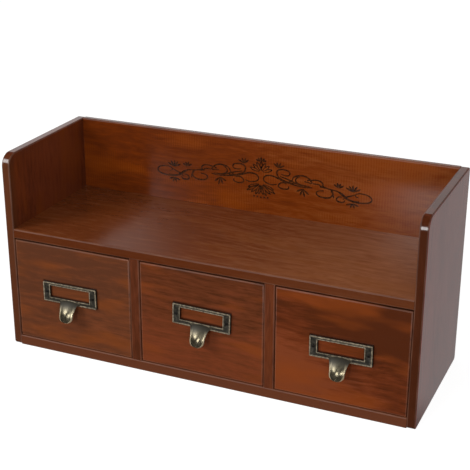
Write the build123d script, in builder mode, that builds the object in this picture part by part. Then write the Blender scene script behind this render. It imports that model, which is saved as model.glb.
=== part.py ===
from build123d import *
import os

# Tabletop chest: an open tray over three drawers, made of lacquered boards.
# Millimetres. The origin is on the table, under the middle of the box. The front faces -Y.

# Carcass
width = 400
depth = 140
height = 192
tray_height = 72
side_thickness = 8
back_thickness = 7
shelf_thickness = 9
bottom_thickness = 10
divider_thickness = 10
nose_radius = 12
corner_radius = 3
board_edge_round = 1.0
panel_arris = 0.9

# Square-cut steel pins that hold the boards, driven below the surface and filled over
pin_width = 1.4
pin_length = 24
pin_cover = 1.5
pin_fit = 0.05
pins_per_board_end = 3
pins_per_upright = 4
pins_per_long_edge = 5
pins_per_divider_back = 2

# Drawers
drawer_names = ["left", "middle", "right"]
drawer_side_gap = 0.5
drawer_top_gap = 1.5
drawer_ride_gap = 0.3
drawer_stop_gap = 0.3
front_bottom_gap = 0.5
front_setback = 0.5
front_thickness = 9
front_arris = 1.0
wall_thickness = 6
wall_drop = 9
rabbet_depth = 5
panel_thickness = 3
panel_lift = 5
panel_play = 0.4
groove_depth = 3
groove_fit = 0.2
drawer_pin_width = 1.1
drawer_pin_length = 16
drawer_pin_cover = 0.5
drawer_pins_per_joint = 2

# Label holder with its finger pull, one brass casting
plate_width = 56.4
plate_height = 19.6
plate_corner = 1.0
field_height = 1.8
rim_height = 0.5
outer_rim = 1.2
inner_rim = 0.9
window_side_bar = 7.2
window_top_bar = 3
window_bottom_bar = 4.6
pocket_depth = 0.8
pocket_margin = 1.6
pull_root_width = 21
pull_end_width = 13.6
pull_root_crown = 2.0
pull_thickness = 1.5
pull_reach = 13.5
pull_drop = 13.3
pull_tip_length = 6.5
lip_width = 1.1
lip_height = 0.4

# Strip that the pull is trimmed from: place along its bend, from 0 at the plate to 1 at the tip,
# with the width and the crown there
pull_sections = [(0, 22, pull_root_crown), (0.33, 19.5, 2.6), (0.66, 17, 3.0), (1, 15, 3.0)]

# The holders are set by hand, each a little off the middle of its drawer: to the right, upwards,
# and turned by a small angle in degrees, anticlockwise from the front
holder_rise = 4
holder_shifts = {"left": (-2.6, -0.3, 0.4), "middle": (1.3, 2.5, -1.2), "right": (0.4, -2.1, 0.5)}

# Screws of the label holder
screw_inset = 3.5
screw_radius = 1.0
screw_length = 7
screw_sides = 16
screw_fit = 0.1
screw_head_radius = 1.5
screw_head_height = 0.8
screw_slot_width = 0.5
screw_slot_depth = 0.45
screw_slot_angles = [35, 110]

# Places that follow from the sizes above
front_y = -depth / 2
back_y = depth / 2
tray_back_y = back_y - back_thickness
shelf_top = height - tray_height
bay_top = shelf_top - shelf_thickness
bay_bottom = bottom_thickness
inner_width = width - 2 * side_thickness
drawer_count = len(drawer_names)
bay_width = (inner_width - (drawer_count - 1) * divider_thickness) / drawer_count
bay_pitch = bay_width + divider_thickness
bay_xs = [bay_pitch * (index - (drawer_count - 1) / 2) for index in range(drawer_count)]
divider_xs = [x + bay_pitch / 2 for x in bay_xs[:-1]]


def spread(start, end, count):
    """Middles of count equal lengths between start and end."""
    step = (end - start) / count
    return [start + step * (index + 0.5) for index in range(count)]


def square_rods(plane, places, side, length):
    """Square rods from a plane along its normal, or against it if length is negative."""
    with BuildPart() as group:
        with BuildSketch(plane):
            with Locations(*places):
                Rectangle(side, side)
        extrude(amount=length)
    return group.part


def pins_and_holes(surface, way, places, side, length, cover):
    """Pins that start cover below a surface, and the holes that take them."""
    pins = square_rods(surface.offset(way * cover), places, side, way * length)
    hole_start = surface.offset(way * (cover - pin_fit))
    holes = square_rods(hole_start, places, side + 2 * pin_fit, way * (length + 2 * pin_fit))
    return pins, holes


def write(part, name):
    part.label = name
    export_step(part, f"parts/{name}.step")


os.makedirs("parts", exist_ok=True)

# Pins of the carcass: through the side panels, the shelf, the bottom board and the back panel
shelf_middle_z = (shelf_top + bay_top) / 2
bottom_middle_z = bottom_thickness / 2
back_middle_y = (tray_back_y + back_y) / 2
board_pin_ys = spread(front_y, tray_back_y, pins_per_board_end)
side_pin_places = [(y, z) for y in board_pin_ys for z in (shelf_middle_z, bottom_middle_z)]
side_pin_places += [(back_middle_y, z) for z in spread(0, height, pins_per_upright)]
divider_pin_places = [(x, y) for x in divider_xs for y in board_pin_ys]
long_edge_xs = spread(-inner_width / 2, inner_width / 2, pins_per_long_edge)
back_pin_places = [(x, z) for x in long_edge_xs for z in (shelf_middle_z, bottom_middle_z)]
back_pin_places += [(x, z) for x in divider_xs for z in spread(bay_bottom, bay_top, pins_per_divider_back)]

left_surface = Plane.YZ.offset(-width / 2)
right_surface = Plane.YZ.offset(width / 2)
back_surface = Plane.XZ.offset(-back_y)
carcass_pin = (pin_width, pin_length, pin_cover)
left_side_pins, left_side_holes = pins_and_holes(left_surface, 1, side_pin_places, *carcass_pin)
right_side_pins, right_side_holes = pins_and_holes(right_surface, -1, side_pin_places, *carcass_pin)
shelf_pins, shelf_holes = pins_and_holes(Plane.XY.offset(shelf_top), -1, divider_pin_places, *carcass_pin)
bottom_pins, bottom_holes = pins_and_holes(Plane.XY, 1, divider_pin_places, *carcass_pin)
back_pins, back_holes = pins_and_holes(back_surface, 1, back_pin_places, *carcass_pin)

write(left_side_pins, "left_side_pins")
write(right_side_pins, "right_side_pins")
write(shelf_pins, "shelf_pins")
write(bottom_pins, "bottom_pins")
write(back_pins, "back_pins")


# Side panels: boards of the full depth, their upper front corner cut to a round nose
def side_panel(surface, way, holes):
    with BuildPart() as panel:
        with BuildSketch(surface):
            with Locations((0, height / 2)):
                Rectangle(depth, height)
            fillet(vertices().group_by(Axis.X)[0].sort_by(Axis.Y)[-1], radius=nose_radius)
            fillet(vertices().group_by(Axis.X)[0].sort_by(Axis.Y)[0], radius=corner_radius)
            fillet(vertices().group_by(Axis.X)[-1], radius=corner_radius)
        extrude(amount=way * side_thickness)
        chamfer(faces().filter_by(Axis.X).edges(), length=panel_arris)
        add(holes, mode=Mode.SUBTRACT)
    return panel.part


write(side_panel(left_surface, 1, left_side_holes), "left_side_panel")
write(side_panel(right_surface, -1, right_side_holes), "right_side_panel")

# Back panel, between the side panels and of their height
with BuildPart() as back_panel:
    with BuildSketch(back_surface):
        with Locations((0, height / 2)):
            Rectangle(inner_width, height)
    extrude(amount=back_thickness)
    fillet(edges().filter_by(Axis.X).group_by(Axis.Z)[-1], radius=board_edge_round)
    for holes in (left_side_holes, right_side_holes, back_holes):
        add(holes, mode=Mode.SUBTRACT)
write(back_panel.part, "back_panel")


# Shelf and bottom board, between the side panels and in front of the back panel
def flat_board(under_z, thickness, hole_groups):
    with BuildPart() as board:
        with BuildSketch(Plane.XY.offset(under_z)):
            with Locations((0, (front_y + tray_back_y) / 2)):
                Rectangle(inner_width, tray_back_y - front_y)
        extrude(amount=thickness)
        fillet(edges().filter_by(Axis.X).group_by(Axis.Y)[0], radius=board_edge_round)
        for holes in hole_groups:
            add(holes, mode=Mode.SUBTRACT)
    return board.part


board_end_holes = [left_side_holes, right_side_holes, back_holes]
write(flat_board(bay_top, shelf_thickness, board_end_holes + [shelf_holes]), "shelf_board")
write(flat_board(0, bottom_thickness, board_end_holes + [bottom_holes]), "bottom_board")

# Dividers, upright between the bottom board and the shelf
for name, x in zip(["left_divider", "right_divider"], divider_xs):
    with BuildPart() as divider:
        with BuildSketch(Plane.XY.offset(bay_bottom)):
            with Locations((x, (front_y + tray_back_y) / 2)):
                Rectangle(divider_thickness, tray_back_y - front_y)
        extrude(amount=bay_top - bay_bottom)
        fillet(edges().filter_by(Axis.Z).group_by(Axis.Y)[0], radius=board_edge_round)
        for holes in (shelf_holes, bottom_holes, back_holes):
            add(holes, mode=Mode.SUBTRACT)
    write(divider.part, name)

# Sizes that the drawers share
front_width = bay_width - 2 * drawer_side_gap
front_bottom = bay_bottom + front_bottom_gap
front_top = bay_top - drawer_top_gap
front_middle_z = (front_bottom + front_top) / 2
face_y = front_y + front_setback
front_back_y = face_y + front_thickness
wall_front_y = front_back_y - rabbet_depth
wall_back_y = tray_back_y - drawer_stop_gap
wall_bottom = bay_bottom + drawer_ride_gap
wall_top = front_top - wall_drop
wall_middle_z = (wall_bottom + wall_top) / 2
box_width = front_width - 2 * wall_thickness
panel_bottom = wall_bottom + panel_lift
panel_top = panel_bottom + panel_thickness
groove_height = panel_thickness + groove_fit
groove_middle_z = panel_bottom + groove_height / 2
wall_pin_ys = [(wall_front_y + front_back_y) / 2, wall_back_y - wall_thickness / 2]
wall_pin_zs = spread(panel_top, wall_top, drawer_pins_per_joint)
window_width = plate_width - 2 * window_side_bar
window_height = plate_height - window_top_bar - window_bottom_bar
window_bottom = window_bottom_bar - plate_height / 2
window_middle = window_bottom + window_height / 2
tip_z = -plate_height / 2 - pull_drop
screw_spacing = plate_width - 2 * screw_inset


# Drawer front: rabbeted at the ends for the walls, grooved for the bottom panel
def drawer_front(x, holes):
    with BuildPart() as front:
        with BuildSketch(Plane.XZ.offset(-face_y)):
            with Locations((x, front_middle_z)):
                Rectangle(front_width, front_top - front_bottom)
        extrude(amount=-front_thickness)
        chamfer(faces().sort_by(Axis.Y)[0].edges(), length=front_arris)
        with BuildSketch(Plane.XZ.offset(-front_back_y)):
            with Locations((x, front_middle_z)):
                with GridLocations(box_width + wall_thickness, 0, 2, 1):
                    Rectangle(wall_thickness, front_top - front_bottom)
        extrude(amount=rabbet_depth, mode=Mode.SUBTRACT)
        with BuildSketch(Plane.XZ.offset(-front_back_y)):
            with Locations((x, groove_middle_z)):
                Rectangle(box_width, groove_height)
        extrude(amount=groove_depth, mode=Mode.SUBTRACT)
        add(holes, mode=Mode.SUBTRACT)
    return front.part


# Drawer wall: seated in the front's rabbet, grooved on its inner side for the bottom panel
def drawer_wall(x, inward, holes):
    with BuildPart() as wall:
        with BuildSketch(Plane.XZ.offset(-wall_front_y)):
            with Locations((x, wall_middle_z)):
                Rectangle(wall_thickness, wall_top - wall_bottom)
            with Locations((x + inward * (wall_thickness - groove_depth) / 2, groove_middle_z)):
                Rectangle(groove_depth, groove_height, mode=Mode.SUBTRACT)
        extrude(amount=wall_front_y - wall_back_y)
        add(holes, mode=Mode.SUBTRACT)
    return wall.part


# Drawer back: between the walls, standing on the bottom panel
def drawer_back(x, holes):
    with BuildPart() as back:
        with BuildSketch(Plane.XZ.offset(-wall_back_y)):
            with Locations((x, (panel_top + wall_top) / 2)):
                Rectangle(box_width, wall_top - panel_top)
        extrude(amount=wall_thickness)
        add(holes, mode=Mode.SUBTRACT)
    return back.part


# Drawer bottom: a thin panel in the grooves, pinned up into the drawer back
def drawer_bottom(x, holes):
    start_y = front_back_y - groove_depth + panel_play
    with BuildPart() as panel:
        with BuildSketch(Plane.XY.offset(panel_bottom)):
            with Locations((x, (start_y + wall_back_y) / 2)):
                Rectangle(box_width + 2 * (groove_depth - panel_play), wall_back_y - start_y)
        extrude(amount=panel_thickness)
        add(holes, mode=Mode.SUBTRACT)
    return panel.part


# Finger pull: a crowned strip that bends out of the plate and down, with a raised lip
def pull_outline(face, inset):
    """Front view of the pull, run forward through it: sides flared at the root, elliptical tip."""
    tip = pull_end_width / 2 - inset
    root = pull_root_width / 2 - inset
    low = tip_z + pull_tip_length
    high = window_bottom - pull_root_crown
    flare = root - tip
    with BuildPart() as outline:
        with BuildSketch(face):
            with BuildLine():
                right = EllipticalCenterArc((root, low), flare, high - low, start_angle=180, arc_size=-90)
                left = EllipticalCenterArc((-root, low), flare, high - low, start_angle=0, arc_size=90)
                Polyline(right @ 1, (root, high + pull_reach), (-root, high + pull_reach), left @ 1)
                Line(left @ 0, right @ 0)
            make_face()
            with Locations((0, low)):
                Ellipse(tip, pull_tip_length - inset)
        extrude(amount=2 * pull_reach)
    return outline.part


def pull_strip(face, outer, thickness):
    side_view = Plane(origin=face.origin, x_dir=face.z_dir, z_dir=-face.x_dir)
    reach = pull_reach - pocket_depth
    fall = window_bottom - tip_z
    with BuildLine(side_view) as bend:
        EllipticalCenterArc((pocket_depth, tip_z), reach, fall, start_angle=90, arc_size=-90)
    with BuildPart() as strip:
        for place, section_width, crown in pull_sections:
            half = section_width / 2
            across = Plane(origin=bend.line @ place, x_dir=face.x_dir, z_dir=bend.line % place)
            with BuildSketch(across):
                with BuildLine():
                    top = ThreePointArc((-half, outer - crown), (0, outer), (half, outer - crown))
                    under_edge = outer - thickness - crown
                    under = ThreePointArc((-half, under_edge), (0, outer - thickness), (half, under_edge))
                    Line(top @ 0, under @ 0)
                    Line(top @ 1, under @ 1)
                make_face()
        loft()
        add(pull_outline(face, 0), mode=Mode.INTERSECT)
    return strip.part


def label_holder(face):
    with BuildPart() as pull:
        add(pull_strip(face, lip_height, pull_thickness / 2 + lip_height))
        add(pull_outline(face, lip_width), mode=Mode.SUBTRACT)
        add(pull_strip(face, 0, pull_thickness))
    with BuildPart() as holder:
        with BuildSketch(face):
            RectangleRounded(plate_width, plate_height, plate_corner)
        extrude(amount=field_height)
        with BuildSketch(face.offset(field_height)):
            RectangleRounded(plate_width, plate_height, plate_corner)
            Rectangle(plate_width - 2 * outer_rim, plate_height - 2 * outer_rim, mode=Mode.SUBTRACT)
            with Locations((0, window_middle)):
                Rectangle(window_width + 2 * inner_rim, window_height + 2 * inner_rim)
        extrude(amount=rim_height)
        add(pull.part)
        with BuildSketch(face):
            with Locations((0, window_middle)):
                Rectangle(window_width, window_height)
        extrude(amount=field_height + rim_height, mode=Mode.SUBTRACT)
        pocket_bottom = window_bottom - pocket_margin
        with BuildSketch(face):
            with Locations((0, (pocket_bottom + plate_height / 2) / 2)):
                Rectangle(window_width + 2 * pocket_margin, plate_height / 2 - pocket_bottom)
        extrude(amount=pocket_depth, mode=Mode.SUBTRACT)
        add(screw_holes(face), mode=Mode.SUBTRACT)
    return holder.part


# Screws of the label holder, each with a low head and a slot at its own angle
def holder_screws(face):
    seat = face.offset(field_height)
    with BuildPart() as screws:
        for side, angle in zip((-1, 1), screw_slot_angles):
            middle = (side * screw_spacing / 2, 0)
            with BuildSketch(seat):
                with Locations(middle):
                    RegularPolygon(screw_radius, screw_sides)
            extrude(amount=-screw_length)
            with BuildSketch(seat):
                with Locations(middle):
                    RegularPolygon(screw_head_radius, screw_sides)
            extrude(amount=screw_head_height)
            with BuildSketch(seat.offset(screw_head_height)):
                with Locations(middle):
                    Rectangle(2 * screw_head_radius, screw_slot_width, rotation=angle)
            extrude(amount=-screw_slot_depth, mode=Mode.SUBTRACT)
    return screws.part


def screw_holes(face):
    """Holes for the screws through the holder and into the drawer front, with a little play."""
    with BuildPart() as holes:
        with BuildSketch(face.offset(field_height)):
            with GridLocations(screw_spacing, 0, 2, 1):
                RegularPolygon(screw_radius + screw_fit, screw_sides)
        extrude(amount=-screw_length - screw_fit)
    return holes.part


# The drawers
for name, x in zip(drawer_names, bay_xs):
    right_shift, up_shift, turn = holder_shifts[name]
    holder_z = front_middle_z + holder_rise + up_shift
    rightward = Vector(1, 0, 0).rotate(Axis.Y, -turn)
    face = Plane(origin=(x + right_shift, face_y, holder_z), x_dir=rightward, z_dir=(0, -1, 0))
    wall_places = [(y, z) for y in wall_pin_ys for z in wall_pin_zs]
    back_pin_xs = spread(x - box_width / 2, x + box_width / 2, drawer_pins_per_joint)
    back_places = [(pin_x, wall_pin_ys[1]) for pin_x in back_pin_xs]
    drawer_pin = (drawer_pin_width, drawer_pin_length, drawer_pin_cover)
    left_end = Plane.YZ.offset(x - front_width / 2)
    right_end = Plane.YZ.offset(x + front_width / 2)
    under_side = Plane.XY.offset(panel_bottom)
    left_pins, left_holes = pins_and_holes(left_end, 1, wall_places, *drawer_pin)
    right_pins, right_holes = pins_and_holes(right_end, -1, wall_places, *drawer_pin)
    under_pins, under_holes = pins_and_holes(under_side, 1, back_places, *drawer_pin)
    wall_holes = [left_holes, right_holes]
    wall_offset = (box_width + wall_thickness) / 2

    write(drawer_front(x, wall_holes + [screw_holes(face)]), f"{name}_drawer_front")
    write(drawer_wall(x - wall_offset, 1, [left_holes]), f"{name}_drawer_left_side")
    write(drawer_wall(x + wall_offset, -1, [right_holes]), f"{name}_drawer_right_side")
    write(drawer_back(x, wall_holes + [under_holes]), f"{name}_drawer_back")
    write(drawer_bottom(x, [under_holes]), f"{name}_drawer_bottom")
    write(left_pins + right_pins + under_pins, f"{name}_drawer_pins")
    write(label_holder(face), f"{name}_label_holder")
    write(holder_screws(face), f"{name}_holder_screws")
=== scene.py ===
import bmesh
import bpy
from math import pi, radians, sin
from mathutils import Euler, Matrix, Vector


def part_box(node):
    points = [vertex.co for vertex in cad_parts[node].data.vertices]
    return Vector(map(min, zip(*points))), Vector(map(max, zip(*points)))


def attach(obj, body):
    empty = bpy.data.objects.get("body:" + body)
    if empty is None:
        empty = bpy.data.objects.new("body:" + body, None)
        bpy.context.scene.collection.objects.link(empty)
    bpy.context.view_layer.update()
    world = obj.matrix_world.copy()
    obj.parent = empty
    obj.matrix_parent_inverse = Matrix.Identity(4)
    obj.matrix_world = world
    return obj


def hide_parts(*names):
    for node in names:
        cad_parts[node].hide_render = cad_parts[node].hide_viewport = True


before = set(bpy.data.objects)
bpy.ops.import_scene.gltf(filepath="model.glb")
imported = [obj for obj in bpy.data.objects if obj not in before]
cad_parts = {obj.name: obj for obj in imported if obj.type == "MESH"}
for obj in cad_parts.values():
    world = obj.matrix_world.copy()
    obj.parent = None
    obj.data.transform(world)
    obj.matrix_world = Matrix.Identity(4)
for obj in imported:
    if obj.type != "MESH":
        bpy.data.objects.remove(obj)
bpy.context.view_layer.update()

# Side panels: solid softwood boards, 8 mm thick, standing on end with their grain upright.
# The upper front corner is cut to a round nose and every arris is rubbed round before staining.
# They are glued and pinned to the ends of the shelf, the bottom board and the back panel.
nose_radius = 0.012
corner_radius = 0.003
arris_radius = 0.0009
arris_fade_width = 0.001
panel_front_reach = 0.012
tolerance = 1e-6


def cut_board(name, low, high):
    """A board that fills the box between two corners."""
    bpy.ops.object.select_all(action="DESELECT")
    bpy.ops.mesh.primitive_cube_add(size=1, location=(low + high) / 2, scale=high - low)
    board = bpy.context.object
    board.name = name
    bpy.ops.object.transform_apply(location=True, rotation=True, scale=True)
    return board


def round_edges(board, wanted, radius, steps):
    """Rounds the edges whose two end points pass the test."""
    bpy.ops.object.mode_set(mode="EDIT")
    bpy.ops.mesh.select_mode(type="EDGE")
    bpy.ops.mesh.select_all(action="DESELECT")
    shape = bmesh.from_edit_mesh(board.data)
    for edge in shape.edges:
        edge.select_set(wanted(edge.verts[0].co, edge.verts[1].co))
    bmesh.update_edit_mesh(board.data)
    bpy.ops.mesh.bevel(offset=radius, segments=steps, affect="EDGES")
    bpy.ops.object.mode_set(mode="OBJECT")


def rounded_across(axis):
    """A test for the faces of edges that are rounded between an axis and what is square to it."""
    return lambda normal: 0.05 < abs(normal[axis]) < 0.99


def border_faces(board, is_arris):
    """Gives the flat faces a narrow border beside the rounded edges."""
    bpy.ops.object.mode_set(mode="EDIT")
    bpy.ops.mesh.select_mode(type="FACE")
    bpy.ops.mesh.select_all(action="DESELECT")
    shape = bmesh.from_edit_mesh(board.data)
    for face in shape.faces:
        face.select_set(not is_arris(face.normal))
    bmesh.update_edit_mesh(board.data)
    bpy.ops.mesh.inset(thickness=arris_fade_width, use_individual=False)
    bpy.ops.object.mode_set(mode="OBJECT")


def mark_arrises(board, is_arris):
    """Attribute 'arris': 1 on the rounded edges, 0 from the next line on the flat faces."""
    arrises = [face for face in board.data.polygons if is_arris(face.normal)]
    wear_and_highlight = {corner for face in arrises for corner in face.vertices}
    arris_marks = board.data.attributes.new("arris", "FLOAT", "POINT")
    for index, value in enumerate(arris_marks.data):
        value.value = 1.0 if index in wear_and_highlight else 0.0
    bpy.ops.object.shade_smooth_by_angle(angle=radians(35))
    bpy.ops.object.modifier_add(type="WEIGHTED_NORMAL")
    bpy.ops.object.modifier_apply(modifier=board.modifiers[0].name)


def seat(piece, material, body, node):
    """Gives a finished piece its material and its body, and hides the CAD node that it stands for."""
    piece.data.materials.clear()
    piece.data.materials.append(material)
    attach(piece, body)
    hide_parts(node)


def linear(code):
    """Linear colour of an sRGB hex value."""
    values = [int(code[place:place + 2], 16) / 255 for place in (1, 3, 5)]
    return [value / 12.92 if value <= 0.04045 else ((value + 0.055) / 1.055) ** 2.4
            for value in values] + [1]


def fill_sockets(tree, node, inputs):
    """Fills a node's sockets with values or links."""
    for socket, value in inputs.items():
        if isinstance(value, bpy.types.NodeSocket):
            tree.links.new(value, node.inputs[socket])
        else:
            node.inputs[socket].default_value = value


def add_node(tree, kind, settings, inputs):
    """Adds a node, sets its options and fills its sockets."""
    node = tree.nodes.new(kind)
    for option, value in settings.items():
        setattr(node, option, value)
    fill_sockets(tree, node, inputs)
    return node


def fill_ramp(ramp_node, stops):
    """Colour stops of a ramp, as pairs of place and hex colour."""
    ramp = ramp_node.color_ramp
    for spare in range(len(stops) - len(ramp.elements)):
        ramp.elements.new(0.5 + spare / 100)
    for element, (place, code) in zip(ramp.elements, stops):
        element.position = place
        element.color = linear(code)


def start_material(name):
    """A new material with a plain Principled surface, its nodes, and the object's coordinates."""
    material = bpy.data.materials.new(name)
    material.use_nodes = True
    tree = material.node_tree
    return material, tree, add_node(tree, "ShaderNodeTexCoord", {}, {}).outputs["Object"]


# Softwood stained red-brown and sprayed with satin nitrocellulose lacquer. To the eye: soft wavy
# streaks a few millimetres wide along the grain, finer fibres between them, long orange and brown
# patches where the stain took unevenly, a clear gloss that blurs within a few degrees, and paler,
# duller lines along the rubbed arrises, whose paler tone is partly rubbed wear and partly a painted
# highlight. Fibres are drawn 1.2 mm wide, as coarse as shows.
# A front edge can take a darker tone, an outer face can be given lighter tones as a painted sheen,
# and a board can grow darker or lighter from one end to the other, on some boards as painted light
# and shade. A wide board shows faint cross ripples.
# A drawer's front is lacquered on its face alone: a painted shadow lies dark in the corner round its
# label plate and along the inside of the plate's window, and the wood in the window is painted a
# little lighter and more orange, as painted light.
sway_reach = 0.016
plate_half_width = 0.0282
plate_half_height = 0.0098
window_half_width = 0.021
window_half_height = 0.006
window_rise = 0.0008
lacquered_depth = (0.0005, 0.0015)
painted_shadow_reach = (0.0001, 0.0012)
painted_light_reach = (0.0006, 0.0016)


def stained_wood(name, along, seed, tones, edge_tone, front=None, outer=None, drift=(),
                 roughness=0.15, streak_width=4.0, flame=0.5, figure_depth=1.0, ripple=0.0,
                 wear_and_highlight=0.4, plate=None):
    material, tree, place = start_material(name)
    axes = add_node(tree, "ShaderNodeSeparateXYZ", {}, {0: place})
    dark, middle, light, ember = tones

    def stretched(amount):
        """Coordinates squeezed along the grain, so that a pattern on them runs with it."""
        scale = [1.0, 1.0, 1.0]
        scale[along] = amount
        part_of_tree = [0.37 * seed, 0.53 * seed, 0.71 * seed]
        return add_node(tree, "ShaderNodeMapping", {}, {
            "Vector": place, "Location": part_of_tree, "Scale": scale}).outputs[0]

    sway = add_node(tree, "ShaderNodeTexNoise", {}, {
        "Vector": stretched(0.5), "Scale": 24.0, "Detail": 1.0})
    grain = add_node(tree, "ShaderNodeVectorMath", {"operation": "MULTIPLY_ADD"}, {
        0: sway.outputs["Color"], 1: [sway_reach] * 3, 2: stretched(0.19)})
    streaks = add_node(tree, "ShaderNodeTexNoise", {}, {
        "Vector": grain.outputs[0], "Scale": 1000 / streak_width, "Detail": 3.0, "Roughness": 0.6})
    rings = add_node(tree, "ShaderNodeTexWave", {
        "wave_type": "RINGS", "rings_direction": "XYZ"[along], "wave_profile": "SIN"}, {
        "Vector": grain.outputs[0], "Scale": 48.0, "Distortion": 2.5, "Detail": 2.0,
        "Detail Scale": 2.5})
    fibres = add_node(tree, "ShaderNodeTexNoise", {}, {
        "Vector": stretched(0.09), "Scale": 830.0, "Detail": 2.0, "Roughness": 0.6})
    patches = add_node(tree, "ShaderNodeTexNoise", {}, {
        "Vector": stretched(0.28), "Scale": 42.0, "Detail": 2.5, "Roughness": 0.5})
    figure = add_node(tree, "ShaderNodeMix", {"data_type": "FLOAT"}, {
        0: 0.12, 2: streaks.outputs["Fac"], 3: rings.outputs["Fac"]})
    figure = add_node(tree, "ShaderNodeMix", {"data_type": "FLOAT"}, {
        0: 0.33, 2: figure.outputs[0], 3: patches.outputs["Fac"]})
    figure = add_node(tree, "ShaderNodeMix", {"data_type": "FLOAT"}, {
        0: 0.3, 2: figure.outputs[0], 3: fibres.outputs["Fac"]})
    if ripple:
        waves = add_node(tree, "ShaderNodeTexWave", {"bands_direction": "XYZ"[along]}, {
            "Vector": place, "Scale": 125.0, "Distortion": 2.5, "Detail": 2.0, "Detail Scale": 0.6})
        centred = add_node(tree, "ShaderNodeMath", {"operation": "SUBTRACT"}, {
            0: waves.outputs["Fac"], 1: 0.5})
        strength = add_node(tree, "ShaderNodeMapRange", {}, {
            "Value": patches.outputs["Fac"], "From Min": 0.45, "From Max": 0.65, "To Max": ripple})
        crossed = add_node(tree, "ShaderNodeMath", {"operation": "MULTIPLY"}, {
            0: centred.outputs[0], 1: strength.outputs[0]})
        figure = add_node(tree, "ShaderNodeMath", {"operation": "ADD"}, {
            0: figure.outputs[0], 1: crossed.outputs[0]})
    # Drift: darker or lighter from one end of a board to the other; on several boards it is painted
    # light and shade
    for axis, start, end, first, last in drift:
        change = add_node(tree, "ShaderNodeMapRange", {"interpolation_type": "SMOOTHSTEP"}, {
            "Value": axes.outputs[axis], "From Min": start, "From Max": end,
            "To Min": first, "To Max": last})
        figure = add_node(tree, "ShaderNodeMath", {"operation": "ADD"}, {
            0: figure.outputs[0], 1: change.outputs[0]})
    reach = 0.12 / figure_depth
    tone_places = (0.5 - reach, 0.5, 0.5 + reach)
    stain = add_node(tree, "ShaderNodeValToRGB", {}, {"Fac": figure.outputs[0]})
    fill_ramp(stain, list(zip(tone_places, (dark, middle, light))))
    glow = add_node(tree, "ShaderNodeMapRange", {"interpolation_type": "SMOOTHSTEP"}, {
        "Value": patches.outputs["Fac"], "From Min": 0.5, "From Max": 0.68, "To Max": flame})
    coloured = add_node(tree, "ShaderNodeMix", {"data_type": "RGBA"}, {
        0: glow.outputs[0], 6: stain.outputs["Color"], 7: linear(ember)})
    if front:
        front_y, front_tone, front_reach = front
        front_toned = add_node(tree, "ShaderNodeMapRange", {"interpolation_type": "SMOOTHSTEP"}, {
            "Value": axes.outputs["Y"], "From Min": front_y + 0.0001, "From Max": front_y + front_reach,
            "To Min": 0.85, "To Max": 0.0})
        coloured = add_node(tree, "ShaderNodeMix", {"data_type": "RGBA"}, {
            0: front_toned.outputs[0], 6: coloured.outputs[2], 7: linear(front_tone)})
    # The outer face's lighter, mauve tones are a painted sheen
    if outer:
        outer_x, outer_sheen_tones = outer
        coat_and_sheen = add_node(tree, "ShaderNodeMapRange", {"interpolation_type": "SMOOTHSTEP"}, {
            "Value": axes.outputs["X"], "From Min": outer_x - 0.0005, "From Max": outer_x - 0.0001})
        outer_sheen_stain = add_node(tree, "ShaderNodeValToRGB", {}, {"Fac": figure.outputs[0]})
        fill_ramp(outer_sheen_stain, list(zip(tone_places, outer_sheen_tones)))
        coloured = add_node(tree, "ShaderNodeMix", {"data_type": "RGBA"}, {
            0: coat_and_sheen.outputs[0], 6: coloured.outputs[2], 7: outer_sheen_stain.outputs["Color"]})
    # Paler along the arrises: rubbed wear, and a painted highlight where the rounded edges catch light
    arris = add_node(tree, "ShaderNodeAttribute", {"attribute_name": "arris"}, {})
    uneven = add_node(tree, "ShaderNodeMapRange", {}, {
        "Value": streaks.outputs["Fac"], "From Min": 0.3, "From Max": 0.7, "To Max": wear_and_highlight})
    near_edge = add_node(tree, "ShaderNodeMath", {"operation": "POWER"}, {
        0: arris.outputs["Fac"], 1: 4.0})
    rubbed_and_highlit = add_node(tree, "ShaderNodeMath", {"operation": "MULTIPLY"}, {
        0: near_edge.outputs[0], 1: uneven.outputs[0]})
    coloured = add_node(tree, "ShaderNodeMix", {"data_type": "RGBA"}, {
        0: rubbed_and_highlit.outputs[0], 6: coloured.outputs[2], 7: linear(edge_tone)})
    dulled = add_node(tree, "ShaderNodeMapRange", {}, {
        "Value": fibres.outputs["Fac"], "From Min": 0.3, "From Max": 0.7,
        "To Min": roughness - 0.03, "To Max": roughness + 0.04})
    dulled = add_node(tree, "ShaderNodeMath", {"operation": "MULTIPLY_ADD"}, {
        0: near_edge.outputs[0], 1: 0.35, 2: dulled.outputs[0]})
    if plate:
        middle_x, middle_z, turn, face_y = plate
        whole_y, bare_y = (face_y + depth for depth in lacquered_depth)
        on_face = add_node(tree, "ShaderNodeMapRange", {"interpolation_type": "SMOOTHSTEP"}, {
            "Value": axes.outputs["Y"], "From Min": whole_y, "From Max": bare_y,
            "To Min": 1.0, "To Max": 0.0})
        dulled = add_node(tree, "ShaderNodeMath", {"operation": "MULTIPLY_ADD"}, {
            0: on_face.outputs[0], 1: -0.35, 2: dulled.outputs[0]})
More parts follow.
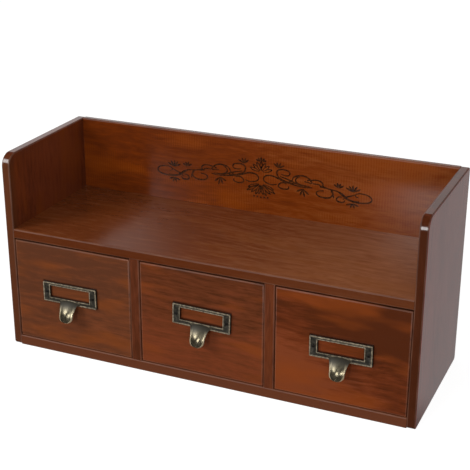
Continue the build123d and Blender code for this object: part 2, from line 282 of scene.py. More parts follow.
        # How far a point is outside the plate, and how far it is inside the window
        distances = []
        for rise, half_width, half_height, sign in (
                (0, plate_half_width, plate_half_height, 1),
                (window_rise, window_half_width, window_half_height, -1)):
            around = add_node(tree, "ShaderNodeMapping", {"vector_type": "TEXTURE"}, {
                "Vector": place, "Location": (middle_x, 0, middle_z + rise), "Rotation": (0, -turn, 0)})
            around = add_node(tree, "ShaderNodeVectorMath", {"operation": "ABSOLUTE"}, {
                0: around.outputs[0]})
            around = add_node(tree, "ShaderNodeVectorMath", {"operation": "SUBTRACT"}, {
                0: around.outputs[0], 1: (half_width, 1, half_height)})
            around = add_node(tree, "ShaderNodeSeparateXYZ", {}, {0: around.outputs[0]})
            outside = add_node(tree, "ShaderNodeMath", {"operation": "MAXIMUM"}, {
                0: around.outputs["X"], 1: around.outputs["Z"]})
            distances.append(add_node(tree, "ShaderNodeMath", {"operation": "MULTIPLY"}, {
                0: outside.outputs[0], 1: sign}).outputs[0])
        past_plate, in_window = distances
        gap = add_node(tree, "ShaderNodeMath", {"operation": "MAXIMUM"}, {0: past_plate, 1: in_window})
        # Each tone lies between two distances, on the face alone: painted light on the wood in the
        # window, then a painted shadow round the plate and along the window's edge
        for distance, (start, end), first, last, tone in (
                (in_window, painted_light_reach, 0.0, 0.22, ember),
                (gap.outputs[0], painted_shadow_reach, 0.68, 0.0, "#1c0d06")):
            share = add_node(tree, "ShaderNodeMapRange", {"interpolation_type": "SMOOTHSTEP"}, {
                "Value": distance, "From Min": start, "From Max": end, "To Min": first, "To Max": last})
            share = add_node(tree, "ShaderNodeMath", {"operation": "MULTIPLY"}, {
                0: share.outputs[0], 1: on_face.outputs[0]})
            coloured = add_node(tree, "ShaderNodeMix", {"data_type": "RGBA"}, {
                0: share.outputs[0], 6: coloured.outputs[2], 7: linear(tone)})
    relief = add_node(tree, "ShaderNodeMix", {"data_type": "FLOAT"}, {
        0: 0.5, 2: fibres.outputs["Fac"], 3: streaks.outputs["Fac"]})
    bump = add_node(tree, "ShaderNodeBump", {}, {
        "Strength": 0.1, "Distance": 0.0003, "Height": relief.outputs[0]})
    fill_sockets(tree, tree.nodes["Principled BSDF"], {
        "Base Color": coloured.outputs[2], "Roughness": dulled.outputs[0], "IOR": 1.5,
        "Normal": bump.outputs[0]})
    return material


# Each panel: its wood's tones, the tone of its front edge, how strong its figure is, the tones of
# its outer face if they differ, given lighter as a painted sheen, and how it grows darker or lighter
# along its depth: the left panel darker towards the front and with painted shade towards the back
# panel, the right panel lighter towards the front as part of its painted sheen
side_panels = {
    "left_side_panel": (("#461e0f", "#6c3119", "#7a3a1e", "#78370f"), "#522d1a", 0.4, None, (
        ("Y", -0.06, 0.0, -0.12, 0.0), ("Y", 0.025, 0.063, 0.0, -0.12))),
    "right_side_panel": (("#4a200d", "#592712", "#683018", "#662c10"), "#3f1d0c", 1.3,
                         ("#6c3129", "#7f3d33", "#904b40"), (("Y", -0.068, -0.03, 0.04, 0.0),)),
}
for seed, (node, values) in enumerate(side_panels.items()):
    tones, front_tone, figure_depth, coat_and_sheen, drift = values
    low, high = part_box(node)
    panel = cut_board(node.replace("panel", "board"), low, high)
    is_nose = lambda a, b: min(a.z, b.z) > high.z - tolerance and max(a.y, b.y) < low.y + tolerance
    is_corner = lambda a, b: abs(a.x - b.x) > tolerance and not is_nose(a, b) and (
        max(a.y, b.y) < low.y + tolerance or min(a.y, b.y) > high.y - tolerance)
    round_edges(panel, is_nose, nose_radius, 10)
    is_square_corner = lambda a, b: is_corner(a, b) and (
        min(a.z, b.z) > high.z - tolerance or max(a.z, b.z) < low.z + tolerance)
    round_edges(panel, is_square_corner, corner_radius, 4)
    on_face = lambda a, b: abs(a.x - b.x) < tolerance
    round_edges(panel, on_face, arris_radius, 3)
    border_faces(panel, rounded_across(0))
    mark_arrises(panel, rounded_across(0))
    wood = stained_wood("lacquered_wood_" + node, 2, seed + 1, tones, "#86583f",
                        front=(low.y, front_tone, panel_front_reach), outer=coat_and_sheen and (high.x, coat_and_sheen),
                        drift=drift, figure_depth=figure_depth)
    seat(panel, wood, "carcass", node)

# Back panel: one wide board with its grain across the box, glued and pinned between the side
# panels. Its upper arrises are rubbed round, and a scroll of leaves and flowers is burnt into
# the face that shows above the shelf.
board_arris = 0.001


def scribe(board, axis, places):
    """Cuts a line round a board at each of the places along an axis."""
    across = [0, 0, 0]
    across[axis] = 1
    bpy.ops.object.mode_set(mode="EDIT")
    for place in places:
        bpy.ops.mesh.select_all(action="SELECT")
        bpy.ops.mesh.bisect(plane_co=[place * part for part in across], plane_no=across)
    bpy.ops.object.mode_set(mode="OBJECT")


low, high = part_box("back_panel")
back = cut_board("back_board", low, high)
is_top_edge = lambda a, b: min(a.z, b.z) > high.z - tolerance and abs(a.x - b.x) > tolerance
round_edges(back, is_top_edge, board_arris, 3)
border = board_arris + arris_fade_width
scribe(back, 2, [high.z - border])
scribe(back, 1, [low.y + border, high.y - border])
mark_arrises(back, rounded_across(2))
# Darker at the left end, where the left panel's shade falls, and lighter at the right: painted shade and
# light
back_wood = stained_wood(
    "lacquered_wood_back", 0, 3, ("#582409", "#6d2e08", "#7e4119", "#803906"), "#86583f",
    drift=(("X", -0.17, 0.17, -0.1, 0.1),), figure_depth=0.65, ripple=0.2)
seat(back, back_wood, "carcass", "back_panel")
scroll_y = low.y

# Burnt line: charred wood under the board's own lacquer, dark brown and as glossy as the board.
burnt, tree, place = start_material("burnt_line")
char = add_node(tree, "ShaderNodeTexNoise", {}, {"Vector": place, "Scale": 420.0, "Detail": 3.0})
scorch = add_node(tree, "ShaderNodeValToRGB", {}, {"Fac": char.outputs["Fac"]})
fill_ramp(scorch, [(0.35, "#241205"), (0.65, "#42210b")])
fill_sockets(tree, tree.nodes["Principled BSDF"], {
    "Base Color": scorch.outputs["Color"], "Roughness": 0.17})

# The scroll's strokes, in millimetres to the right of its middle and above the table. It is the
# same on both sides: a stem that runs out in loops and curls, with flowers between them.
scroll_middle = 2.4
# How far a stroke of middling half width stands out of the board, and that half width, in metres
stroke_height = 0.00005
stroke_radius = 0.0007
stems = [
    [(16.1, 151.5), (11.6, 150.5), (7.6, 151.0), (3.8, 152.7), (2.6, 155.0), (3.9, 157.8),
     (7.6, 159.3), (12.6, 159.2), (17.6, 157.6), (22.6, 155.7), (27.6, 154.6), (33.6, 153.5),
     (39.6, 152.8), (45.6, 152.5), (52.1, 153.2)],
    [(20.6, 162.2), (25.6, 161.4), (29.1, 162.8), (28.9, 165.3), (24.6, 167.0), (19.6, 166.8),
     (16.6, 165.0), (16.4, 162.0), (17.6, 159.4), (22.1, 157.0), (27.6, 155.4), (33.6, 154.6)],
    [(19.6, 160.0), (25.6, 158.5), (30.6, 157.0), (36.0, 155.0), (41.6, 153.8)],
    [(28.1, 151.2), (28.6, 149.6), (25.6, 148.0), (21.1, 148.1), (18.1, 149.8), (18.6, 152.0),
     (22.1, 154.0), (26.6, 153.3)],
    [(44.1, 158.2), (47.6, 158.0), (51.6, 157.8), (50.6, 159.6), (48.1, 162.0), (43.6, 163.6),
     (38.6, 163.3), (34.6, 162.0), (32.6, 160.0), (31.6, 157.6), (27.6, 155.2)],
    [(39.6, 162.7), (36.3, 160.6), (35.4, 157.6), (37.6, 155.4), (42.6, 154.2), (49.6, 154.0)],
    [(52.6, 157.3), (58.6, 157.2), (61.1, 155.6), (62.6, 157.8), (61.1, 160.0), (57.6, 161.2),
     (52.1, 160.8), (46.6, 159.6)],
    [(63.6, 151.8), (58.6, 151.0), (56.4, 149.3), (57.6, 146.7), (61.6, 145.3), (67.6, 145.4),
     (71.1, 147.0), (72.6, 150.0), (72.0, 152.8), (67.6, 154.6), (62.1, 156.4)],
    [(59.6, 155.2), (65.6, 154.8), (72.6, 153.9), (77.6, 153.0), (80.6, 151.0), (83.6, 148.8),
     (87.6, 146.6), (92.6, 145.3), (97.6, 145.0), (103.6, 145.4), (108.1, 146.6), (110.6, 149.0),
     (109.6, 151.8), (106.6, 153.4), (101.6, 154.2), (97.1, 153.8), (94.6, 151.8), (97.6, 149.8)],
    [(76.6, 153.6), (81.6, 151.6), (86.0, 148.2), (90.6, 146.2), (98.6, 146.0)],
    [(82.6, 146.0), (86.0, 148.8), (90.1, 150.5), (94.6, 152.4)],
    [(84.6, 145.5), (83.6, 143.7), (79.6, 143.2), (76.6, 144.6), (77.6, 147.5), (81.6, 148.4)],
    [(70.6, 152.5), (72.8, 150.0), (73.6, 146.0)],
]
# Each flower: its foot, the width of a petal, and the tips of its petals
flowers = [
    ((0, 161.6), 2.4, [(0, 172.4), (4.5, 171.2), (8.5, 168.6), (11.5, 165.0)]),
    ((0, 149.8), 2.4, [(2.3, 139.0), (5.6, 138.4), (10.0, 140.2), (14.6, 141.6), (13.4, 145.2)]),
]
# Each leaf or bud: one stroke from its foot to its tip, broad in the middle
leaves = [
    (0, 172.4, 0, 176.6), (1.0, 172.6, 3.4, 175.6), (1.4, 172.2, 5.4, 173.6), (0, 136.9, 0, 135.3),
    (3.2, 137.2, 3.8, 135.4), (6.6, 137.2, 7.6, 135.8), (0, 163.4, 0, 167.6), (0, 147.8, 0, 143.0),
    (17.6, 168.2, 12.8, 172.2), (17.6, 168.2, 16.0, 173.6), (17.8, 168.4, 20.0, 173.4),
    (18.0, 168.2, 23.8, 171.2), (42.6, 150.6, 36.4, 147.4), (42.6, 150.6, 40.0, 143.8),
    (42.8, 150.4, 44.6, 142.8), (43.0, 150.6, 48.8, 145.6), (78.0, 157.0, 73.2, 159.8),
    (78.0, 157.0, 76.6, 161.6), (78.2, 157.0, 80.0, 161.2), (78.4, 156.8, 83.0, 159.4),
    (92.4, 154.8, 85.2, 158.2), (92.4, 154.8, 88.2, 160.4), (92.4, 154.8, 92.0, 161.4),
    (92.6, 154.8, 96.2, 160.6), (92.8, 154.8, 99.6, 158.4), (92.2, 143.4, 86.0, 141.2),
    (92.2, 143.4, 90.0, 138.8), (92.4, 143.4, 94.2, 138.8), (92.6, 143.4, 98.2, 141.4),
]
# Each stroke is a row of points: right, up, and its half width there, all in millimetres. Along a
# petal's side and along a leaf, the steps are how far along a point is and its half width.
petal_steps = ((0.15, 0.35), (0.45, 0.5), (0.75, 0.65), (1.0, 0.7))
leaf_steps = ((0.0, 0.45), (0.35, 0.9), (0.7, 1.15), (1.0, 0.35))
strokes = [[(x, z, 0.6 + 0.32 * sin(pi * step / (len(stem) - 1)))
            for step, (x, z) in enumerate(stem)] for stem in stems]
for foot, width, tips in flowers:
    for tip in tips:
        out = Vector(tip) - Vector(foot)
        across = Vector((-out.y, out.x)).normalized() * width / 2
        for side in (-1, 1):
            petal = []
            for part, radius in petal_steps:
                bulge = across * side * sin(pi * part ** 1.4)
                petal.append((*(Vector(foot) + out * part + bulge), radius))
            strokes.append(petal)
for foot_x, foot_z, tip_x, tip_z in leaves:
    strokes.append([(foot_x + (tip_x - foot_x) * part, foot_z + (tip_z - foot_z) * part, radius)
                    for part, radius in leaf_steps])

outline = bpy.data.curves.new("scroll", "CURVE")
outline.dimensions = "3D"
outline.bevel_depth = 0.001
outline.bevel_resolution = 1
outline.resolution_u = 5
for mirror in (1, -1):
    for stroke in strokes:
        spline = outline.splines.new("BEZIER")
        spline.bezier_points.add(len(stroke) - 1)
        for point, (x, z, radius) in zip(spline.bezier_points, stroke):
            point.co = ((scroll_middle + mirror * x) / 1000, scroll_y, z / 1000)
            point.handle_left_type = "AUTO"
            point.handle_right_type = "AUTO"
            point.radius = radius
drawing = bpy.data.objects.new("burnt_scroll", outline)
bpy.context.scene.collection.objects.link(drawing)
bpy.ops.object.select_all(action="DESELECT")
drawing.select_set(True)
bpy.context.view_layer.objects.active = drawing
bpy.ops.object.convert(target="MESH")
scroll = bpy.context.object
bpy.ops.object.mode_set(mode="EDIT")
bpy.ops.mesh.select_all(action="SELECT")
bpy.ops.transform.resize(
    value=(1, stroke_height / stroke_radius, 1), center_override=(0, scroll_y, 0))
bpy.ops.mesh.normals_make_consistent(inside=False)
bpy.ops.object.mode_set(mode="OBJECT")
bpy.ops.object.shade_smooth_by_angle(angle=radians(50))
scroll.data.materials.clear()
scroll.data.materials.append(burnt)
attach(scroll, "carcass")

# Shelf and bottom board: boards with their grain across the box, glued between the side panels.
# Only their front arrises are rubbed round, because the other edges meet a board.
plank_front_reach = 0.0009
for node, seed, tones, front_tone in (
        ("shelf_board", 4, ("#55290f", "#71381a", "#98603f", "#83461a"), "#4e220a"),
        ("bottom_board", 5, ("#502a17", "#60331e", "#6d3c24", "#6c3718"), "#60331e")):
    low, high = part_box(node)
    plank = cut_board(node.replace("board", "plank"), low, high)
    is_front_edge = lambda a, b: max(a.y, b.y) < low.y + tolerance and abs(a.x - b.x) > tolerance
    round_edges(plank, is_front_edge, board_arris, 3)
    scribe(plank, 1, [low.y + border])
    scribe(plank, 2, [low.z + border, high.z - border])
    mark_arrises(plank, rounded_across(2))
    # Both boards grow lighter towards the right: painted light
    wood = stained_wood("lacquered_wood_" + node, 0, seed, tones, "#7c4a2c",
                        front=(low.y, front_tone, plank_front_reach), flame=0.3, figure_depth=0.32,
                        drift=(("X", -0.06, 0.16, 0.0, 0.27),), wear_and_highlight=0.5)
    seat(plank, wood, "carcass", node)

# Dividers: two softwood uprights between the drawers, with their grain upright. They are pinned
# through the bottom board, the shelf and the back, and only their front arrises are rubbed round.
for node, seed in (("left_divider", 6), ("right_divider", 7)):
    low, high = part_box(node)
    upright = cut_board(node.replace("divider", "upright"), low, high)
    is_front_edge = lambda a, b: max(a.y, b.y) < low.y + tolerance and abs(a.z - b.z) > tolerance
    round_edges(upright, is_front_edge, board_arris, 3)
    scribe(upright, 1, [low.y + border])
    scribe(upright, 0, [low.x + border, high.x - border])
    mark_arrises(upright, rounded_across(0))
    wood = stained_wood(
        "lacquered_wood_" + node, 2, seed, ("#4b2411", "#592b17", "#66341c", "#642f14"), "#7c4a2c")
    seat(upright, wood, "carcass", node)

# Pins: square-cut mild steel, bright drawn with a faint brown film, driven and filled over. They
# are inside the boards, so only a cut or a pulled-out drawer would show them.
pin_steel, tree, place = start_material("drawn_steel_pins")
film = add_node(tree, "ShaderNodeTexNoise", {}, {"Vector": place, "Scale": 500.0, "Detail": 4.0})
tint = add_node(tree, "ShaderNodeValToRGB", {}, {"Fac": film.outputs["Fac"]})
fill_ramp(tint, [(0.4, "#6f675f"), (0.62, "#a3a19e")])
dull = add_node(tree, "ShaderNodeMapRange", {}, {
    "Value": film.outputs["Fac"], "To Min": 0.5, "To Max": 0.3})
fill_sockets(tree, tree.nodes["Principled BSDF"], {
    "Base Color": tint.outputs["Color"], "Metallic": 1.0, "Roughness": dull.outputs[0]})
for node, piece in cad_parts.items():
    if node.endswith("_pins"):
        piece.data.materials.clear()
        piece.data.materials.append(pin_steel)

# Drawer fronts: boards 9 mm thick with their grain across, set just behind the carcass's edge.
# All four front arrises are chamfered and rubbed, the ends are rabbeted for the drawer's walls,
# and each front comes from another part of the tree, so its stain took differently.
drawers = ("left", "middle", "right")
front_arris = 0.001
wall_thickness = 0.006
groove_depth = 0.003
groove_fit = 0.0002
# How far a saw cut runs past the board's faces
spare = 0.001


def cut_away(board, low, high):
    """Saws the box between two corners out of a board."""
    cutter = cut_board("cutter", low, high)
    bpy.ops.object.select_all(action="DESELECT")
    board.select_set(True)
    bpy.context.view_layer.objects.active = board
    bpy.ops.object.modifier_add(type="BOOLEAN")
    cut = board.modifiers[-1]
    cut.operation = "DIFFERENCE"
    cut.object = cutter
    cut.solver = "EXACT"
    bpy.ops.object.modifier_apply(modifier=cut.name)
    bpy.data.objects.remove(cutter)


def merged_copy(node, name):
    """A copy of a CAD node with its triangles joined and its flat faces made whole."""
    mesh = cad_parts[node].data.copy()
    piece = bpy.data.objects.new(name, mesh)
    bpy.context.scene.collection.objects.link(piece)
    bpy.ops.object.select_all(action="DESELECT")
    piece.select_set(True)
    bpy.context.view_layer.objects.active = piece
    bpy.ops.mesh.customdata_custom_splitnormals_clear()
    bpy.ops.object.mode_set(mode="EDIT")
    bpy.ops.mesh.select_all(action="SELECT")
    bpy.ops.mesh.remove_doubles(threshold=tolerance)
    bpy.ops.mesh.dissolve_limited(angle_limit=radians(0.5))
    bpy.ops.object.mode_set(mode="OBJECT")
    return piece


def soften_edges(piece, low_angle, high_angle, radius, steps):
    """Rounds the edges whose faces meet at an angle between the two limits."""
    bpy.ops.object.mode_set(mode="EDIT")
    bpy.ops.mesh.select_mode(type="EDGE")
    bpy.ops.mesh.select_all(action="DESELECT")
    shape = bmesh.from_edit_mesh(piece.data)
    for edge in shape.edges:
        edge.select_set(radians(low_angle) < edge.calc_face_angle(0) < radians(high_angle))
    bmesh.update_edit_mesh(piece.data)
    bpy.ops.mesh.bevel(offset=radius, segments=steps, affect="EDGES")
    bpy.ops.object.mode_set(mode="OBJECT")


front_tones = {
    "left": ("#56301d", "#66371f", "#743e22", "#7c3e15"),
    "middle": ("#4c2612", "#613019", "#70361c", "#7c3b14"),
    "right": ("#4c220d", "#632c13", "#75391d", "#823c12"),
}
# How the stain changes: at the foot, the head, the left end and the right end of each front
front_drifts = {
    "left": (-0.03, -0.12, -0.02, 0.0),
    "middle": (0.01, -0.14, 0.08, 0.08),
    "right": (0.04, -0.3, 0.2, -0.08),
}
holder_turns = {"left": 0.4, "middle": -1.2, "right": 0.5}
for seed, drawer in enumerate(drawers):
    low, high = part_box(drawer + "_drawer_front")
    front = cut_board(drawer + "_front_board", low, high)
    round_edges(front, lambda a, b: max(a.y, b.y) < low.y + tolerance, front_arris, 3)
    wall_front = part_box(drawer + "_drawer_left_side")[0].y
    panel_low, panel_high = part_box(drawer + "_drawer_bottom")
    for end_x in (low.x, high.x):
        cut_away(front, Vector((end_x - wall_thickness, wall_front, low.z - spare)),
                 Vector((end_x + wall_thickness, high.y + spare, high.z + spare)))
    cut_away(front,
             Vector((low.x + wall_thickness - spare, high.y - groove_depth, panel_low.z)),
             Vector((high.x - wall_thickness + spare, high.y + spare, panel_high.z + groove_fit)))
    is_rounded = lambda normal: max(abs(normal.x), abs(normal.y), abs(normal.z)) < 0.98
    border_faces(front, is_rounded)
    mark_arrises(front, is_rounded)
    foot, head, left_end, right_end = front_drifts[drawer]
    plate_low, plate_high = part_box(drawer + "_label_holder")
    plate_x = (plate_low.x + plate_high.x) / 2
    wood = stained_wood(
        "lacquered_wood_" + drawer + "_front", 0, seed + 8, front_tones[drawer], "#8a5232",
        drift=(("Z", low.z + 0.02, high.z - 0.01, foot, head),
               ("X", low.x, high.x, left_end, right_end)),
        roughness=0.5, flame=0.6, figure_depth=0.8,
        plate=(plate_x, plate_high.z - plate_half_height, radians(holder_turns[drawer]), low.y))
    seat(front, wood, drawer + "_drawer", drawer + "_drawer_front")

# Drawer boxes: thin softwood walls and backs with a plain stain and no lacquer, so they are matt
# and a shade lighter where the hand has rubbed them, over a thin stained bottom panel.
box_tones = ("#3d1d0f", "#5a3220", "#74462c", "#6b3a20")
panel_tones = ("#4c2a19", "#68402a", "#7f5438", "#704226")
rubbed_tone = "#8a6448"
box_wood = stained_wood(
    "stained_box_wood", 1, 20, box_tones, rubbed_tone, roughness=0.6, flame=0.2)
back_box_wood = stained_wood(
    "stained_back_wood", 0, 21, box_tones, rubbed_tone, roughness=0.6, flame=0.2)
panel_wood = stained_wood(
    "stained_bottom_panel", 0, 22, panel_tones, rubbed_tone, roughness=0.62, streak_width=9,
    flame=0.2)
for drawer in drawers:
    for part, wood in (("left_side", box_wood), ("right_side", box_wood), ("back", back_box_wood),
                       ("bottom", panel_wood)):
        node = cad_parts[drawer + "_drawer_" + part]
        node.data.materials.clear()
        node.data.materials.append(wood)

# Label holders: small brass castings, a frame with a raised bead round its edge and round the
# window, and a finger pull that bends out of the lower bar. The brass is chemically darkened to a
# dull green-grey coat, mottled and pitted on the plate and smoother on the pull. The beads are
# rubbed back to bare metal, the window's walls stay dark, and the fingers have burnished the pull
# and the lip round its end. The lip is painted pale and less metallic, partly burnished wear and
# partly a painted highlight.
tip_half_width = 0.0068
tip_length = 0.0065
pull_sag = 0.0024
edge_round = 0.00015
# How far the field and the bead stand out of the drawer's front, in millimetres
field_proud = 1.8
bead_proud = 2.3


def antiqued_brass(name, face_y, tip_x, tip_z):
    material, tree, place = start_material(name)
    axes = add_node(tree, "ShaderNodeSeparateXYZ", {}, {0: place})
    proud = add_node(tree, "ShaderNodeMapRange", {}, {
        "Value": axes.outputs["Y"], "From Min": face_y, "From Max": face_y - 0.02, "To Max": 20.0})
    raised = add_node(tree, "ShaderNodeMapRange", {"interpolation_type": "SMOOTHSTEP"}, {
        "Value": proud.outputs[0], "From Min": field_proud + 0.28, "From Max": bead_proud - 0.02})
    pulled = add_node(tree, "ShaderNodeMapRange", {"interpolation_type": "SMOOTHSTEP"}, {
        "Value": proud.outputs[0], "From Min": bead_proud + 3.0, "From Max": bead_proud + 9.5})
    sunk = add_node(tree, "ShaderNodeMapRange", {"interpolation_type": "SMOOTHSTEP"}, {
        "Value": proud.outputs[0], "From Min": 0.9, "From Max": 1.7, "To Min": 1.0, "To Max": 0.0})
    tip = add_node(tree, "ShaderNodeMapping", {}, {
        "Vector": place, "Scale": (1 / tip_half_width, 0, 1 / tip_length),
        "Location": (-tip_x / tip_half_width, 0, -tip_z / tip_length - 1)})
    tip = add_node(tree, "ShaderNodeVectorMath", {"operation": "MINIMUM"}, {
        0: tip.outputs[0], 1: (10, 0, 0)})
    tip = add_node(tree, "ShaderNodeVectorMath", {"operation": "LENGTH"}, {0: tip.outputs[0]})
    # The lip round the pull's end: burnished wear, painted pale and less metallic as a painted highlight
    lip_wear_and_highlight = add_node(tree, "ShaderNodeMapRange", {"interpolation_type": "SMOOTHSTEP"}, {
        "Value": tip.outputs["Value"], "From Min": 0.8, "From Max": 0.9})
    lip_wear_and_highlight = add_node(tree, "ShaderNodeMath", {"operation": "MULTIPLY"}, {
        0: lip_wear_and_highlight.outputs[0], 1: pulled.outputs[0]})
    mottle = add_node(tree, "ShaderNodeTexNoise", {}, {"Vector": place, "Scale": 420.0, "Detail": 4.0})
    grit = add_node(tree, "ShaderNodeTexNoise", {}, {"Vector": place, "Scale": 1100.0, "Detail": 3.0})
    patina = add_node(tree, "ShaderNodeValToRGB", {}, {"Fac": mottle.outputs["Fac"]})
    fill_ramp(patina, [(0.4, "#29261f"), (0.52, "#37332a"), (0.68, "#4a453a")])
    bare = add_node(tree, "ShaderNodeValToRGB", {}, {"Fac": mottle.outputs["Fac"]})
    fill_ramp(bare, [(0.35, "#6a604f"), (0.65, "#a3957d")])
    wear_and_highlight = add_node(tree, "ShaderNodeMapRange", {}, {
        "Value": mottle.outputs["Fac"], "From Min": 0.3, "From Max": 0.6, "To Min": 0.75, "To Max": 1.0})
    bead = add_node(tree, "ShaderNodeMath", {"operation": "MULTIPLY"}, {
        0: raised.outputs[0], 1: wear_and_highlight.outputs[0]})
    on_plate = add_node(tree, "ShaderNodeMapRange", {}, {
        "Value": proud.outputs[0], "From Min": bead_proud + 0.1, "From Max": bead_proud + 0.6,
        "To Min": 1.0, "To Max": 0.0})
    bead = add_node(tree, "ShaderNodeMath", {"operation": "MULTIPLY"}, {
        0: bead.outputs[0], 1: on_plate.outputs[0]})
    coat_and_sheen = add_node(tree, "ShaderNodeMix", {"data_type": "RGBA"}, {
        0: on_plate.outputs[0], 6: linear("#38342a"), 7: patina.outputs["Color"]})
    coloured = add_node(tree, "ShaderNodeMix", {"data_type": "RGBA"}, {
        0: bead.outputs[0], 6: coat_and_sheen.outputs[2], 7: bare.outputs["Color"]})
    coloured = add_node(tree, "ShaderNodeMix", {"data_type": "RGBA"}, {
        0: sunk.outputs[0], 6: coloured.outputs[2], 7: linear("#1c1812")})
    burnished = add_node(tree, "ShaderNodeValToRGB", {}, {"Fac": mottle.outputs["Fac"]})
    fill_ramp(burnished, [(0.3, "#5f5846"), (0.7, "#877e67")])
    coloured = add_node(tree, "ShaderNodeMix", {"data_type": "RGBA"}, {
        0: pulled.outputs[0], 6: coloured.outputs[2], 7: burnished.outputs["Color"]})
    coloured = add_node(tree, "ShaderNodeMix", {"data_type": "RGBA"}, {
        0: lip_wear_and_highlight.outputs[0], 6: coloured.outputs[2], 7: linear("#c2b393")})
    metal = add_node(tree, "ShaderNodeMapRange", {}, {
        "Value": pulled.outputs[0], "To Min": 0.35, "To Max": 0.85})
    metal = add_node(tree, "ShaderNodeMath", {"operation": "MULTIPLY_ADD"}, {
        0: lip_wear_and_highlight.outputs[0], 1: -0.4, 2: metal.outputs[0]})
    smooth = add_node(tree, "ShaderNodeMapRange", {}, {
        "Value": pulled.outputs[0], "To Min": 0.48, "To Max": 0.2})
    smooth = add_node(tree, "ShaderNodeMath", {"operation": "MULTIPLY_ADD"}, {
        0: mottle.outputs["Fac"], 1: 0.08, 2: smooth.outputs[0]})
    pits = add_node(tree, "ShaderNodeMapRange", {}, {
        "Value": on_plate.outputs[0], "To Min": 0.05, "To Max": 0.14})
    bump = add_node(tree, "ShaderNodeBump", {}, {
        "Strength": pits.outputs[0], "Distance": 0.0003, "Height": grit.outputs["Fac"]})
    fill_sockets(tree, tree.nodes["Principled BSDF"], {
        "Base Color": coloured.outputs[2], "Metallic": metal.outputs[0],
        "Roughness": smooth.outputs[0], "Normal": bump.outputs[0]})
    return material


def let_sag(piece, front_y, root_y, amount):
    """Lowers a curved arm by the most near its middle, with a lattice round it."""
    low = Vector([min(point.co[axis] for point in piece.data.vertices) for axis in range(3)])
    high = Vector([max(point.co[axis] for point in piece.data.vertices) for axis in range(3)])
    bpy.ops.object.select_all(action="DESELECT")
    middle = (low + high) / 2
    middle.y = (front_y + root_y) / 2
    bpy.ops.object.add(type="LATTICE", location=middle)
    cage = bpy.context.object
    cage.scale = (high.x - low.x, root_y - front_y, high.z - low.z)
    cage.data.points_u, cage.data.points_v, cage.data.points_w = 2, 12, 2
    for point in cage.data.points:
        reach = 0.5 - point.co.y
        point.co_deform.z -= amount / cage.scale.z * sin(pi * reach ** 1.5)
    bpy.ops.object.select_all(action="DESELECT")
    piece.select_set(True)
    bpy.context.view_layer.objects.active = piece
    bpy.ops.object.modifier_add(type="LATTICE")
    piece.modifiers[-1].object = cage
    bpy.ops.object.modifier_apply(modifier=piece.modifiers[-1].name)
    bpy.data.objects.remove(cage)


for drawer in drawers:
    low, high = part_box(drawer + "_label_holder")
    holder = merged_copy(drawer + "_label_holder", drawer + "_brass_frame")
    let_sag(holder, low.y, high.y - bead_proud / 1000, pull_sag)
    soften_edges(holder, 60, 120, edge_round, 2)
    bpy.ops.object.shade_smooth_by_angle(angle=radians(32))
    tip = min((point.co for point in holder.data.vertices), key=lambda place: place.z)
    brass = antiqued_brass("antiqued_brass_" + drawer, high.y, tip.x, tip.z)
    seat(holder, brass, drawer + "_drawer", drawer + "_label_holder")

# Screws: slotted steel, blackened, two to a holder. Their low heads are turned from bar with the
# rim rounded over, then the slots are sawn, and the driver leaves them at any angle.
screw_black, tree, place = start_material("blackened_screw_steel")
oxide = add_node(tree, "ShaderNodeTexNoise", {}, {"Vector": place, "Scale": 900.0, "Detail": 4.0})
tint = add_node(tree, "ShaderNodeValToRGB", {}, {"Fac": oxide.outputs["Fac"]})
fill_ramp(tint, [(0.4, "#14110e"), (0.7, "#332c25")])
fill_sockets(tree, tree.nodes["Principled BSDF"], {
    "Base Color": tint.outputs["Color"], "Metallic": 0.4, "Roughness": 0.45})
head_round = 0.0004
rim_step = 0.0007
for drawer in drawers:
    low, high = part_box(drawer + "_holder_screws")
    screws = merged_copy(drawer + "_holder_screws", drawer + "_slotted_screws")
    is_rim = lambda a, b: max(a.y, b.y) < low.y + tolerance and (a - b).length < rim_step
    round_edges(screws, is_rim, head_round, 3)
    bpy.ops.object.shade_smooth_by_angle(angle=radians(30))
    seat(screws, screw_black, drawer + "_drawer", drawer + "_holder_screws")

# Floor: white paper. It catches the object's shadow. The camera, and gloss that looks back past
# the object, see it as the white background, and towards the front it falls away to a dark room.
bpy.ops.object.select_all(action="DESELECT")
bpy.ops.mesh.primitive_plane_add(size=12, location=(0, 0, 0))
floor = bpy.context.object
floor.name = "paper_floor"
paper = bpy.data.materials.new("white_paper")
paper.use_nodes = True
tree = paper.node_tree
tree.nodes.clear()
place = add_node(tree, "ShaderNodeTexCoord", {}, {}).outputs["Object"]
axes = add_node(tree, "ShaderNodeSeparateXYZ", {}, {0: place})
path = add_node(tree, "ShaderNodeLightPath", {}, {}).outputs
plain = add_node(tree, "ShaderNodeBsdfDiffuse", {}, {"Color": linear("#d0d0d0")})
catch = add_node(tree, "ShaderNodeBsdfDiffuse", {}, {"Color": (0.3, 0.3, 0.3, 1)})
white = add_node(tree, "ShaderNodeEmission", {}, {"Strength": 0.9})
seen = add_node(tree, "ShaderNodeAddShader", {}, {0: catch.outputs[0], 1: white.outputs[0]})
depth = add_node(tree, "ShaderNodeMapRange", {"interpolation_type": "SMOOTHSTEP"}, {
    "Value": axes.outputs["Y"], "From Min": -0.1, "From Max": 0.0, "To Min": 0.03, "To Max": 0.4})
mirrored = add_node(tree, "ShaderNodeEmission", {}, {"Strength": depth.outputs[0]})
through = add_node(tree, "ShaderNodeMath", {"operation": "MAXIMUM"}, {
    0: path["Is Glossy Ray"], 1: path["Is Transmission Ray"]})
look = add_node(tree, "ShaderNodeMixShader", {}, {
    0: path["Is Camera Ray"], 1: plain.outputs[0], 2: seen.outputs[0]})
look = add_node(tree, "ShaderNodeMixShader", {}, {
    0: through.outputs[0], 1: look.outputs[0], 2: mirrored.outputs[0]})
add_node(tree, "ShaderNodeOutputMaterial", {}, {"Surface": look.outputs[0]})
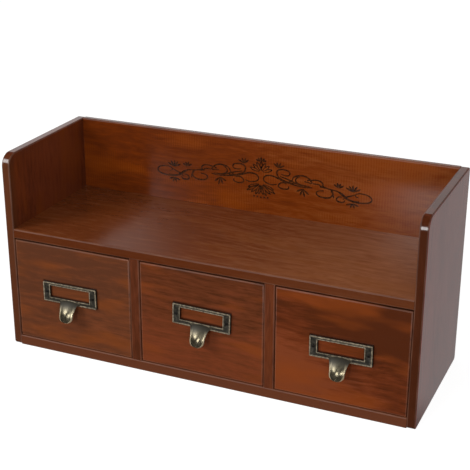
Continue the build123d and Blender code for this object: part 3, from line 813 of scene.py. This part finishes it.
floor.data.materials.append(paper)

# World: an even grey room for the soft fill light, and white to the camera. Gloss sees a white wall
# low behind the object, brighter to the left, and a dark room in front of it and above.
world = bpy.data.worlds.new("studio")
bpy.context.scene.world = world
world.use_nodes = True
tree = world.node_tree
tree.nodes.clear()
around = add_node(tree, "ShaderNodeTexCoord", {}, {}).outputs["Generated"]
axes = add_node(tree, "ShaderNodeSeparateXYZ", {}, {0: around})
path = add_node(tree, "ShaderNodeLightPath", {}, {}).outputs
gloss = add_node(tree, "ShaderNodeMapRange", {"interpolation_type": "SMOOTHSTEP"}, {
    "Value": axes.outputs["Y"], "From Min": 0.1, "From Max": 0.5, "To Min": 0.03, "To Max": 1.0})
for axis, start, end, first, last in (("Z", 0.38, 0.5, 1.0, 0.05), ("X", -0.36, -0.15, 1.0, 0.6)):
    fade = add_node(tree, "ShaderNodeMapRange", {"interpolation_type": "SMOOTHSTEP"}, {
        "Value": axes.outputs[axis], "From Min": start, "From Max": end,
        "To Min": first, "To Max": last})
    gloss = add_node(tree, "ShaderNodeMath", {"operation": "MULTIPLY"}, {
        0: gloss.outputs[0], 1: fade.outputs[0]})
white, mirrored, fill = [
    add_node(tree, "ShaderNodeBackground", {}, {"Color": (1, 1, 1, 1), "Strength": strength})
    for strength in (1.0, gloss.outputs[0], 0.42)]
look = add_node(tree, "ShaderNodeMixShader", {}, {
    0: path["Is Camera Ray"], 1: fill.outputs[0], 2: white.outputs[0]})
through = add_node(tree, "ShaderNodeMath", {"operation": "MAXIMUM"}, {
    0: path["Is Glossy Ray"], 1: path["Is Transmission Ray"]})
look = add_node(tree, "ShaderNodeMixShader", {}, {
    0: through.outputs[0], 1: look.outputs[0], 2: mirrored.outputs[0]})
add_node(tree, "ShaderNodeOutputWorld", {}, {"Surface": look.outputs[0]})

# Lamps: a large softbox at the front left, a tall one low in front that draws the highlights on the
# pulls and on the right panel's nose, and a weak one at the right for a pull's second highlight.
object_middle = Vector((0, 0, 0.1))
for name, direction, distance, width, height, power in (
        ("key_softbox", (-0.6, -0.62, 0.5), 1.7, 0.6, 0.6, 12),
        ("low_front_softbox", (-0.04, -1.04, 0.26), 1.08, 0.2, 0.4, 3.2),
        ("low_right_softbox", (0.5, -0.85, 0.2), 1.1, 0.2, 0.2, 1.6)):
    bpy.ops.object.select_all(action="DESELECT")
    aim = Vector(direction).normalized()
    bpy.ops.object.light_add(type="AREA", location=object_middle + distance * aim)
    lamp = bpy.context.object
    lamp.name = name
    lamp.rotation_euler = aim.to_track_quat("Z", "Y").to_euler()
    lamp.data.shape = "RECTANGLE"
    lamp.data.size = width
    lamp.data.size_y = height
    lamp.data.energy = power

# Camera: solved from the photograph's corners, for a square picture. It looks down at the box from
# the front right, and it is rolled by a tenth of a degree.
bpy.ops.object.camera_add(location=(0.3973, -0.9046, 0.5212))
camera = bpy.context.object
aimed = Euler((radians(67.89), 0, radians(23.56))).to_matrix()
camera.rotation_euler = (aimed @ Matrix.Rotation(radians(0.12), 3, "Z")).to_euler()
camera.data.sensor_width = 36
camera.data.lens = 88.53
bpy.context.scene.camera = camera
bpy.context.scene.view_settings.view_transform = "Standard"
